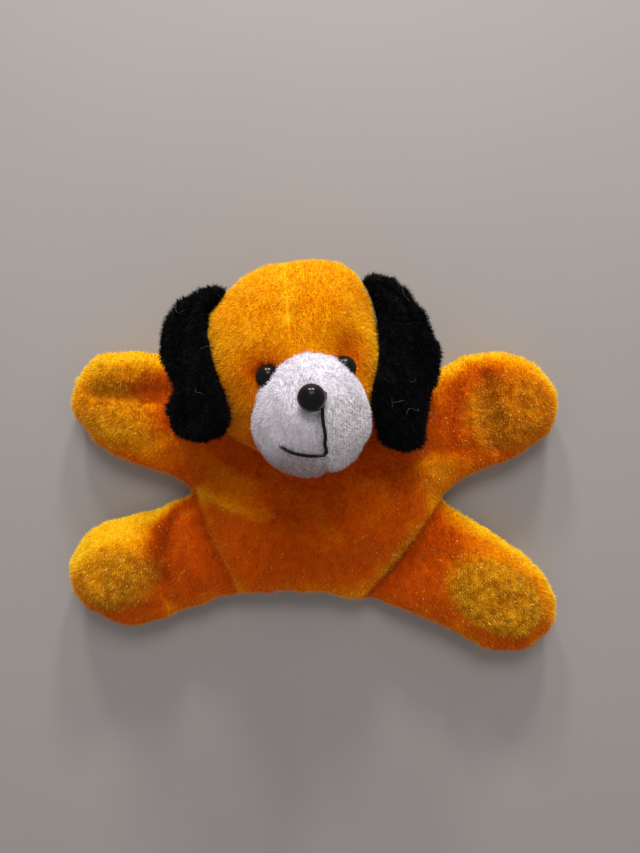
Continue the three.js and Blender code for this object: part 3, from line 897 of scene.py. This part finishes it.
hinges = {
    # each hinge line, with the limb on its left
    "right_arm": ((40.5, 32), (40.5, -8)), "left_arm": ((-41.5, -8), (-41.5, 32)),
    "right_leg": ((32.2, -8.6), (12.6, -33.6)), "left_leg": ((-18.6, -31.6), (-31.8, -6.6)),
}
body = {
    "mid": 5.2, "back": 4.7, "front": 5.0, "roll": 8.0,
    "outline": [(18, 25), (25, 22.5), (31.9, 24.8), (34.9, 26.9), (39.1, 28.9), (43.3, 29.6), (47.5, 29.7),
                (52.6, 28.6), (56.8, 26.1), (60.2, 22.3), (62.1, 17.6), (61.4, 13), (59.3, 9.2), (55.1, 5.4),
                (50.9, 2.9), (45.8, 1.2), (40.8, -0.5), (37, -3), (33.6, -5.1), (31.2, -7.7), (35.7, -10.6),
                (41.2, -14), (46.7, -17.4), (52.6, -21.2), (56.8, -25), (60.2, -30), (61.6, -34.3),
                (61, -38.5), (58.9, -42.3), (55.1, -45.2), (50, -46.7), (45, -46.1), (39.9, -44),
                (34.9, -41), (28.9, -38.1), (22.2, -35.5), (16.3, -33.8), (11.2, -33), (6.2, -32.3),
                (0, -31.9), (-6.5, -31.7), (-12.4, -31.6), (-18.3, -31.7), (-23.4, -32.4), (-27.6, -33.8),
                (-31.8, -35.5), (-36.9, -37.6), (-41.9, -39.2), (-46.2, -39.7), (-50.4, -39.2),
                (-54.6, -37.2), (-58.4, -34.3), (-60.9, -30.9), (-62, -26.7), (-61.4, -22.4),
                (-58.8, -17.8), (-54.6, -14.4), (-49.5, -12.7), (-43.6, -11.7), (-37.7, -9.8),
                (-32.9, -7.5), (-30.8, -6.1), (-32.6, -3.6), (-38.6, -0.9), (-45.3, 1.2), (-54.6, 5.4),
                (-58.4, 10.5), (-60.9, 13.8), (-61.8, 18.1), (-60.5, 22.3), (-58.4, 26.1), (-55.4, 28.6),
                (-51.6, 29.7), (-45.3, 29.6), (-38.6, 29.2), (-30, 26.5), (-20, 28), (-16, 31), (8, 31)],
    # mounds: place, radii, turn, height
    "mounds": [((3, -10), (22, 14), 0, 3.4), ((0, 8), (26, 10), 0, 1.0),
               ((45.4, -32), (12, 8.4), -30, 2.6), ((-50, -24.4), (11, 9.6), 12, 4.0),
               ((48.8, 11.5), (1.7, 6), 12, 1.1), ((-50, 25), (10, 4), 10, 1.1),
               ((-50, 11.5), (9, 4.5), -22, 1.1), ((54, 17), (7, 9), 20, 1.6),
               ((34, 13), (5, 9), 0, 1.0), ((-28, -24), (4, 7), 28, 1.2)],
    # creases: line, depth, width towards its right, width towards its left
    "creases": [(((33, -7.6), (24.6, -18.6), (12.2, -34.2)), 3.9, 1.3, 6.0),
                (((-30.6, -5.8), (-26, -18), (-19.6, -31.6)), 2.6, 5.0, 2.0),
                (((-31, -6), (-36.5, -14), (-38.6, -24), (-36, -34)), 3.0, 2.6, 2.4),
                (((35.8, 20), (34.8, 13), (34.4, 5)), 1.7, 2.4, 2.2),
                (((43.4, 23), (44.4, 14), (46.0, 5)), 2.4, 1.6, 2.6),
                (((-42.5, 28), (-41, 14), (-40, 0)), 1.0, 3.4, 3.4),
                (((-54, 18.6), (-48, 19.8), (-36, 20.6)), 1.0, 2.4, 3.0),
                (((-47, 18.4), (-43.5, 16.6), (-40, 17)), 1.4, 1.8, 1.8),
                (((-30, -5.4), (-22, -9), (-12, -12)), -0.9, 1.6, 2.6),
                (((34, -22), (37.5, -27), (36, -37)), 1.0, 2.4, 2.4),
                (((-22, 2), (-10, -3), (8, -4)), 0.8, 2.2, 3.5),
                (((12, -2), (22, 0), (30, 5)), 0.9, 2.0, 3.0)],
    # painted highlights on lit domes and painted shade in folds and under the chin, with some real nap:
    # place, radii, turn, amount
    "open": [((-51, -19), (10, 5.5), 15, 0.28), ((-49, -25), (12, 9.5), 12, 0.06),
             ((45.6, -31), (12.4, 8), -26, 0.14),
             ((-49, 26), (12, 4.5), 6, 0.25), ((-51, 12), (9, 5), -22, 0.12), ((54, 19), (6, 8), 10, 0.08),
             ((45, 13), (4, 9), 8, -0.34), ((-39, 6), (6, 5), -20, 0.14),
             ((-49, 9), (8, 4), -25, 0.16), ((34, -1), (5, 5), 0, 0.06), ((-44, -28), (8, 5), 10, -0.12),
             ((-24, -1), (9, 4), -30, 0.1), ((30, -1), (6, 4), 20, 0.12),
             ((2, -29), (16, 3), 0, 0.08), ((0, 2), (22, 6), 0, -0.06), ((-33, -22), (6, 8), 20, -0.14),
             ((28, -26), (6, 9), -38, -0.08)],
    # where the pile is golden and mottled with painted glints, with painted light along some ridges: place,
    # radii, turn, amount
    "gold": [((45.4, -31.6), (11.6, 8.0), -28, 0.95), ((-49.5, -27), (11, 8), 12, 0.52),
             ((-50, 12.5), (12, 8), -22, 0.46), ((-50, 25), (11, 5), 6, 0.34),
             ((49, 14), (13, 12), 20, 0.42), ((31, -1.5), (5, 4), 20, 0.3),
             ((-23, -8.6), (8, 2), -26, 0.26), ((21.4, -20.6), (1.7, 9), -38, 0.3),
             ((-24.4, -19), (1.4, 9), 28, 0.16)],
    # painted shade along the creases and painted light on the ridges beside them: line, amount, width
    # towards its right, width towards its left
    "brushed": [(((32, -8), (24.6, -18.6), (12, -34)), -0.26, 0.5, 6.0),
                (((30.5, -9.5), (23, -19.5), (10.5, -33)), 0.2, 3.2, 1.2),
                (((-32, -7), (-38, -15), (-40, -26)), -0.3, 2.6, 2.6),
                (((-30.4, -6), (-26, -18), (-20, -31.6)), -0.24, 3.2, 0.6),
                (((-29.4, -6), (-25, -18), (-18.6, -31.4)), 0.12, 0.7, 2.4),
                (((-30, -5), (-22, -8.6), (-13, -12)), 0.2, 1.4, 1.6),
                (((-54, 18.6), (-48, 20), (-36, 20.4)), -0.16, 2.0, 1.2),
                (((39.6, 18), (40.4, 12), (41.8, 7)), 0.4, 0.9, 1.0),
                (((36, 20), (34.6, 6)), -0.16, 2.0, 2.0)],
}
bodyEdge = inside(rounded(body["outline"]), 6)


def frontHeight(x, y):
    high = body["front"] + 0 * x
    for place, radii, turn, height in body["mounds"]:
        high = high + bulge(x, y, place, radii, turn, height)
    for line, depth, rightWide, leftWide in body["creases"]:
        near = lineDistance(x, y, line)[0]
        left = sideOfLine(x, y, (line[0], line[-1])) > 0
        high = high - depth * np.exp(-(near / np.where(left, leftWide, rightWide)) ** 1.6)
    for ends in hinges.values():
        # pull lines that run away from a crease
        away = sideOfLine(x, y, ends)
        along = ((x - ends[0][0]) * (ends[1][0] - ends[0][0]) + (y - ends[0][1]) * (ends[1][1] - ends[0][1]))
        along /= math.dist(*ends)
        ripple = np.sin(along * 0.8 + 2.2 * np.sin(along * 0.27 + 1) + away * 0.15)
        high = high + 0.16 * ripple * np.exp(-(away / 4.5) ** 2)
    return np.maximum(high, 1.6)


bodyFront = Map((-67, -53), (67, 37), 0.5, frontHeight, 2)


def bodyPlain(x, y, z):
    p = np.stack([x, y, z], -1)
    w = z - body["mid"]
    high = np.where(w > 0, bodyFront.at(x, y), body["back"])
    shape = puffed(bodyEdge.at(x, y), w / high, body["roll"], 5.0)
    shape = shape - 0.16 * waves(p, 51, 8) - 0.05 * waves(p, 52, 3.2)
    shape = shape + 0.35 * np.exp(-(w / 0.6) ** 2)  # the seam of the sides
    seat = headField(x, y, z, True) - 2.6
    bed = np.maximum(np.hypot(x - neck["x"], y - neck["y"]) - neck["bed"], neck["low"] - z)
    return without(without(shape, seat, 1.5), bed, 0.4)


def bodySkin(x, y, z):
    # the pouch for the fingers is open at the hem and at the neck
    shape = bodyPlain(x, y, z)
    limits = [sideOfLine(x, y, ends) + 5 for ends in hinges.values()]
    pouch = shape + 1.2
    for limit in limits:
        pouch = np.maximum(pouch, limit)
    w = np.abs(z - body["mid"])
    across = np.clip((x + 3) / 11.4, -1, 1)
    lips = 2.9 * np.sqrt(1 - across ** 2) - 0.25 + 0.25 * np.sin(x * 0.7)
    mouth = np.maximum.reduce([w - lips, x - 8.2, -14.2 - x, y + 22])
    bore = np.maximum.reduce([np.hypot(x - neck["x"], y - neck["y"]) - neck["bore"], 4 - z])
    hollow = np.minimum(np.minimum(pouch, mouth), bore)
    return without(shape, hollow, 0.25)


def bodyNapAndShade(p, n):
    x, y = p[:, 0], p[:, 1]
    # painted light on the side facing the lamps, then painted light and shade in spots and along the creases
    nap = lightFrom(n, 0.3, 0.33)
    for place, radii, turn, amount in body["open"]:
        nap = nap + bulge(x, y, place, radii, turn, amount) * (n[:, 2] > 0)
    for line, amount, rightWide, leftWide in body["brushed"]:
        near = lineDistance(x, y, line)[0]
        left = sideOfLine(x, y, (line[0], line[-1])) > 0
        nap = nap + amount * np.exp(-(near / np.where(left, leftWide, rightWide)) ** 2) * (n[:, 2] > 0)
    # painted sheen along the edges, a little stronger on the side facing the lamps
    rimSheen = np.exp(-(np.maximum(bodyEdge.at(x, y), 0) / 3.2) ** 2) * (0.7 + 0.3 * n[:, 1])
    gold = 0
    for place, radii, turn, amount in body["gold"]:
        gold = gold + bulge(x, y, place, radii, turn, amount) * (n[:, 2] > 0)
    return nap + 0.4 * rimSheen, gold * (1 - 0.7 * rimSheen)


bodyAll = makeSkin(bodySkin, (-66, -51, -1.5), (66, 34, 17), 0.6 if full else 0.9, bodyNapAndShade)
bodyMid = centres(bodyAll)
limbLooks = {
    # where the limb's cloth starts, where it has stopped bending, which side of the armpit it is on
    "right_arm": {"cut": -1.8, "start": -1.2, "end": 6.0, "armpit": -7.8, "magnet": (52, 15.5)},
    "left_arm": {"cut": -1.8, "start": -1.2, "end": 6.0, "armpit": -6.2, "magnet": (-52.4, 16.5)},
    "right_leg": {"cut": -1.6, "start": -1.0, "end": 6.5, "armpit": -7.8, "magnet": (47.5, -31.5)},
    "left_leg": {"cut": -1.6, "start": -1.0, "end": 6.5, "armpit": -6.2, "magnet": (-49.5, -26)},
}


def onLimb(name, x, y, cut):
    look = limbLooks[name]
    above = y > look["armpit"]
    return (sideOfLine(x, y, hinges[name]) > cut) & (above if name.endswith("arm") else ~above)


def camel(name):
    first, *rest = name.split("_")
    return first + "".join(word.capitalize() for word in rest)


def bendWith(name):
    # the cloth's placing is baked into its points; where the bend would start and end is worked out but not
    # used
    (ax, ay), (bx, by) = hinges[name]
    long = math.dist((ax, ay), (bx, by))
    out = np.array([-(by - ay), bx - ax]) / long
    for reach in (limbLooks[name]["start"], limbLooks[name]["end"]):
        x, y = np.array([(ax + bx) / 2, (ay + by) / 2]) + out * reach
        x * mm
        y * mm
    return lambda o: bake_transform(o)


def bodyLean(root):
    x, y = root[:, 0], root[:, 1]
    swirl = waves(root, 61, 26)
    return np.stack([0.25 * swirl + 0.004 * x, -0.45 + 0.3 * waves(root, 62, 22), 0 * x], 1)


grownOutside = np.abs(bodyPlain(*bodyMid.T)) < 0.5
taken = np.zeros(len(bodyMid), bool)
for i, name in enumerate(limbLooks):
    chosen = onLimb(name, bodyMid[:, 0], bodyMid[:, 1], limbLooks[name]["cut"])
    taken |= chosen
    for face, side in (("front", bodyMid[:, 2] > body["mid"]), ("back", bodyMid[:, 2] <= body["mid"])):
        part = subset(bodyAll, chosen & side)
        length = 1.0 if face == "front" else 0.7
        addCloth(camel(name) + face.capitalize(), part, "golden", [name + "_" + face + "_cloth"], None,
                 160 + 2 * i + (face == "back"), 1.0, length, bodyLean, bendWith(name))
for face, side in (("front", bodyMid[:, 2] > body["mid"]), ("back", bodyMid[:, 2] <= body["mid"])):
    part = subset(bodyAll, ~taken & side)
    addCloth("torso" + face.capitalize(), part, "golden", ["torso_" + face + "_panel"],
             grownOutside[~taken & side], 180 + (face == "back"), 1.0, 1.0 if face == "front" else 0.7,
             bodyLean, lambda o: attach(o, "torso"))
print("puppet: body")


# ---- filling, which the cloth hides

def addPad(name, field, low, high, node, bodyName, step=0.8):
    def tufted(x, y, z):
        p = np.stack([x, y, z], -1)
        return field(x, y, z) + 0.25 * np.abs(waves(p, 71, 3.4)) + 0.12 * waves(p, 72, 1.6)
    points, faces, normals = netAndNormals(tufted, low, high, step if full else 1.2, 2)
    pad = makeMesh(name, points, faces, fibreSkin, normals)
    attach(pad, bodyName)
    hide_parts(node)


def limbPad(name):
    mx, my = limbLooks[name]["magnet"]

    def field(x, y, z):
        pad = bodyPlain(x, y, z) + 1.3
        pad = np.maximum(pad, 6.8 - sideOfLine(x, y, hinges[name]))
        pad = np.maximum(pad, (limbLooks[name]["armpit"] - y) * (1 if name.endswith("arm") else -1))
        pocket = np.maximum(np.hypot(x - mx, y - my) - 6.8, z - 4.4)
        return without(pad, pocket, 0.2)
    return field


corners = {"right_arm": ((44, -2), (64, 32)), "left_arm": ((-64, -2), (-44, 32)),
           "right_leg": ((14, -50), (64, -7)), "left_leg": ((-65, -43), (-20, -6))}
for name, ((x0, y0), (x1, y1)) in corners.items():
    addPad(camel(name) + "Pad", limbPad(name), (x0, y0, 0), (x1, y1, 14), name + "_fibre_pad", name)
for side, (field, skin) in ears.items():
    low, high = skin["points"].min(0) - 1, skin["points"].max(0) + 1
    addPad(side + "EarPad", lambda x, y, z, f=field: f(x, y, z) + 1.0, low, high, side + "_ear_fibre_pad",
           side + "_ear", 0.6)
addPad("headFilling", lambda x, y, z: headSkin(x, y, z) + 1.2, (-27, 1, 8), (19, 51, 43), "head_stuffing",
       "head", 0.9)
addPad("muzzleFilling", lambda x, y, z: muzzleSkin(x, y, z) + 1.2, (-16, -3, 24), (14, 29, 51),
       "muzzle_stuffing", "head", 0.7)
print("puppet: filling")


# ---- beads

def addBead(name, place, radius, node, tilt):
    # a moulded bead with a faint parting line, a small gate mark and a hole for its thread
    rings, around = (64, 96) if full else (32, 48)
    a = np.linspace(0, math.pi, rings + 1)[1:-1]
    b = np.linspace(0, 2 * math.pi, around, endpoint=False)
    a, b = np.meshgrid(a, b, indexing="ij")
    way = np.stack([np.sin(a) * np.cos(b), np.sin(a) * np.sin(b), np.cos(a)], -1).reshape(-1, 3)
    way = np.concatenate([way, [[0, 0, 1], [0, 0, -1]]])
    size = radius * (1 + 0.006 * np.exp(-(way[:, 0] / 0.03) ** 2))
    size -= radius * 0.05 * np.exp(-((way - [0, 1, 0]) ** 2).sum(1) / 0.02)
    size -= radius * 0.5 * np.exp(-((way - [0, 0, -1]) ** 2).sum(1) / 0.03)
    size *= 1 + 0.004 * waves(way * radius, 81, 2.2)
    points = way * size[:, None] * [1, 1, 0.97]
    turn = Matrix.Rotation(math.radians(tilt[0]), 3, "X") @ Matrix.Rotation(math.radians(tilt[1]), 3, "Y")
    points = points @ np.array(turn).T + np.array(place)
    i, j = np.meshgrid(np.arange(rings - 2), np.arange(around), indexing="ij")
    nextJ = (j + 1) % around
    quads = np.stack([i * around + j, (i + 1) * around + j,
                      (i + 1) * around + nextJ, i * around + nextJ], -1)
    quads = quads.reshape(-1, 4)
    tris = np.concatenate([quads[:, [0, 1, 2]], quads[:, [0, 2, 3]]])
    j = np.arange(around)
    top, last, low = (rings - 1) * around, (rings - 2) * around, (rings - 1) * around + 1
    caps = np.concatenate([np.stack([j * 0 + top, j, (j + 1) % around], 1),
                           np.stack([j * 0 + low, last + (j + 1) % around, last + j], 1)])
    bead = makeMesh(name, points, np.concatenate([tris, caps]), beadSkin)
    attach(bead, "head")
    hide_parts(node)


addBead("leftEyeBead", eyeBeads["leftEye"], eyeRadius, "left_eye_bead", (10, -20))
addBead("rightEyeBead", eyeBeads["rightEye"], eyeRadius, "right_eye_bead", (5, 18))
addBead("noseBead", noseBead["at"], noseBead["radius"], "nose_bead", (-8, 3))
print("puppet: beads")


# ---- stitches and lint

def smoothLine(points, count):
    # even points along a soft curve through a few points
    p = np.array(points, float)
    p = np.concatenate([[2 * p[0] - p[1]], p, [2 * p[-1] - p[-2]]])
    spans = len(p) - 3
    t = np.linspace(0, spans - 1e-6, count)
    i = t.astype(int)
    t = (t - i)[:, None]
    a, b, c, d = p[i], p[i + 1], p[i + 2], p[i + 3]
    curve = (2 * a - 5 * b + 4 * c - d) * t ** 2 + (3 * b - a - 3 * c + d) * t ** 3
    return 0.5 * (2 * b + (c - a) * t + curve)


def tube(points, radius, sides, number=0):
    # a closed tube with pointed ends
    along = np.gradient(points, axis=0)
    along /= np.linalg.norm(along, axis=1, keepdims=True)
    side = np.cross(along, [0.13, 0.31, 0.94])
    side /= np.linalg.norm(side, axis=1, keepdims=True)
    up = np.cross(along, side)
    turn = np.arange(sides) * 2 * math.pi / sides
    size = radius * np.ones(len(points))
    size[0] = size[-1] = radius * 0.3
    ring = side[:, None] * np.cos(turn)[:, None] + up[:, None] * np.sin(turn)[:, None]
    made = (points[:, None] + ring * size[:, None, None]).reshape(-1, 3)
    ends = [points[0] - along[0] * radius * 0.3, points[-1] + along[-1] * radius * 0.3]
    made = np.concatenate([made, ends])
    i, j = np.meshgrid(np.arange(len(points) - 1), np.arange(sides), indexing="ij")
    k = (j + 1) % sides
    quads = np.stack([i * sides + j, (i + 1) * sides + j, (i + 1) * sides + k, i * sides + k], -1)
    quads = quads.reshape(-1, 4)
    tris = np.concatenate([quads[:, [0, 2, 1]], quads[:, [0, 3, 2]]])
    j = np.arange(sides)
    first, end = len(points) * sides, (len(points) - 1) * sides
    caps = np.concatenate([np.stack([j * 0 + first, (j + 1) % sides, j], 1),
                           np.stack([j * 0 + first + 1, end + j, end + (j + 1) % sides], 1)])
    return made, np.concatenate([tris, caps]) + number


def onMuzzle(x, y):
    # the height of the muzzle's cloth over a place
    low, high = 38.0, 50.0
    for _ in range(30):
        middle = (low + high) / 2
        if muzzleField(*(np.array([[v]]) for v in (x, y, middle)))[0, 0] < 0:
            low = middle
        else:
            high = middle
    return middle


def addStitch(name, route, node, lift=0.75):
    # three plies twisted round each other
    line = smoothLine([(x, y, onMuzzle(x, y) + (lift if 0 < k < len(route) - 1 else lift - 0.7))
                       for k, (x, y) in enumerate(route)], 160)
    long = np.concatenate([[0], np.cumsum(np.linalg.norm(np.diff(line, axis=0), axis=1))])
    along = np.gradient(line, axis=0)
    along /= np.linalg.norm(along, axis=1, keepdims=True)
    side = np.cross(along, [0.1, 0.2, 0.97])
    side /= np.linalg.norm(side, axis=1, keepdims=True)
    up = np.cross(along, side)
    points, faces, number = [], [], 0
    for ply in range(3):
        turn = (long / 1.1 * 2 * math.pi + ply * 2 * math.pi / 3)[:, None]
        p, f = tube(line + (side * np.cos(turn) + up * np.sin(turn)) * 0.17, 0.19, 8, number)
        points.append(p)
        faces.append(f)
        number += len(p)
    stitch = makeMesh(name, np.concatenate(points), np.concatenate(faces), threadSkin)
    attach(stitch, "head")
    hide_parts(node)


lipRoute = [(1.5, 17.6), (2.4, 17.2), (2.4, 16.2), (2.0, 15.2), (1.95, 13.2), (2.15, 11.1), (2.5, 8.9),
            (2.4, 7.1), (2.75, 5.7), (2.1, 4.9)]
smileRoute = [(-6.55, 6.8), (-4.85, 5.85), (-2.95, 5.2), (0, 4.8), (2.4, 4.9)]
addStitch("lipStitch", lipRoute, "lip_stitch")
addStitch("smileStitch", smileRoute, "smile_stitch", 0.6)


def addLint(side, count, seed):
    # a few pale curled hairs that cling to the ear's pile
    skin = ears[side][1]
    rng = np.random.default_rng(seed)
    front = np.argwhere((skin["normals"][:, 2] > 0.35))[:, 0]
    points, faces, number = [], [], 0
    for _ in range(count):
        at = rng.choice(front)
        place, out = skin["points"][at] + skin["normals"][at] * 1.1, skin["normals"][at]
        way = rng.normal(size=3)
        way -= out * (way @ out)
        way /= np.linalg.norm(way)
        bend = rng.normal() * 0.12
        line = [place]
        for _ in range(int(rng.integers(18, 44))):
            bend = 0.9 * bend + rng.normal() * 0.05
            way = way + np.cross(out, way) * bend + rng.normal(size=3) * 0.04
            way /= np.linalg.norm(way)
            line.append(line[-1] + way * 0.12)
        p, f = tube(np.array(line), 0.02, 4, number)
        points.append(p)
        faces.append(f)
        number += len(p)
    lint = makeMesh(side + "EarLint", np.concatenate(points), np.concatenate(faces), lintSkin)
    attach(lint, side + "_ear")


addLint("left", 4, 91)
addLint("right", 9, 92)
print("puppet: stitches and lint")


# ---- what stays from the frame

keep = {"neck_finger_tube": cloths["golden"]}
for side in ("left_arm", "right_arm", "left_leg", "right_leg"):
    keep[side + "_magnet"] = magnetSkin
for name, material in keep.items():
    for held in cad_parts[name].material_slots:
        held.material = material

floorMesh = bpy.data.meshes.new("floor")
floorMesh.from_pydata([(-1.5, -1.5, 0), (1.5, -1.5, 0), (1.5, 1.5, 0), (-1.5, 1.5, 0)], [], [(0, 1, 2, 3)])
floorMesh.materials.append(floorFinish())
floor = bpy.data.objects.new("floor", floorMesh)
scene.collection.objects.link(floor)

print("puppet: done")
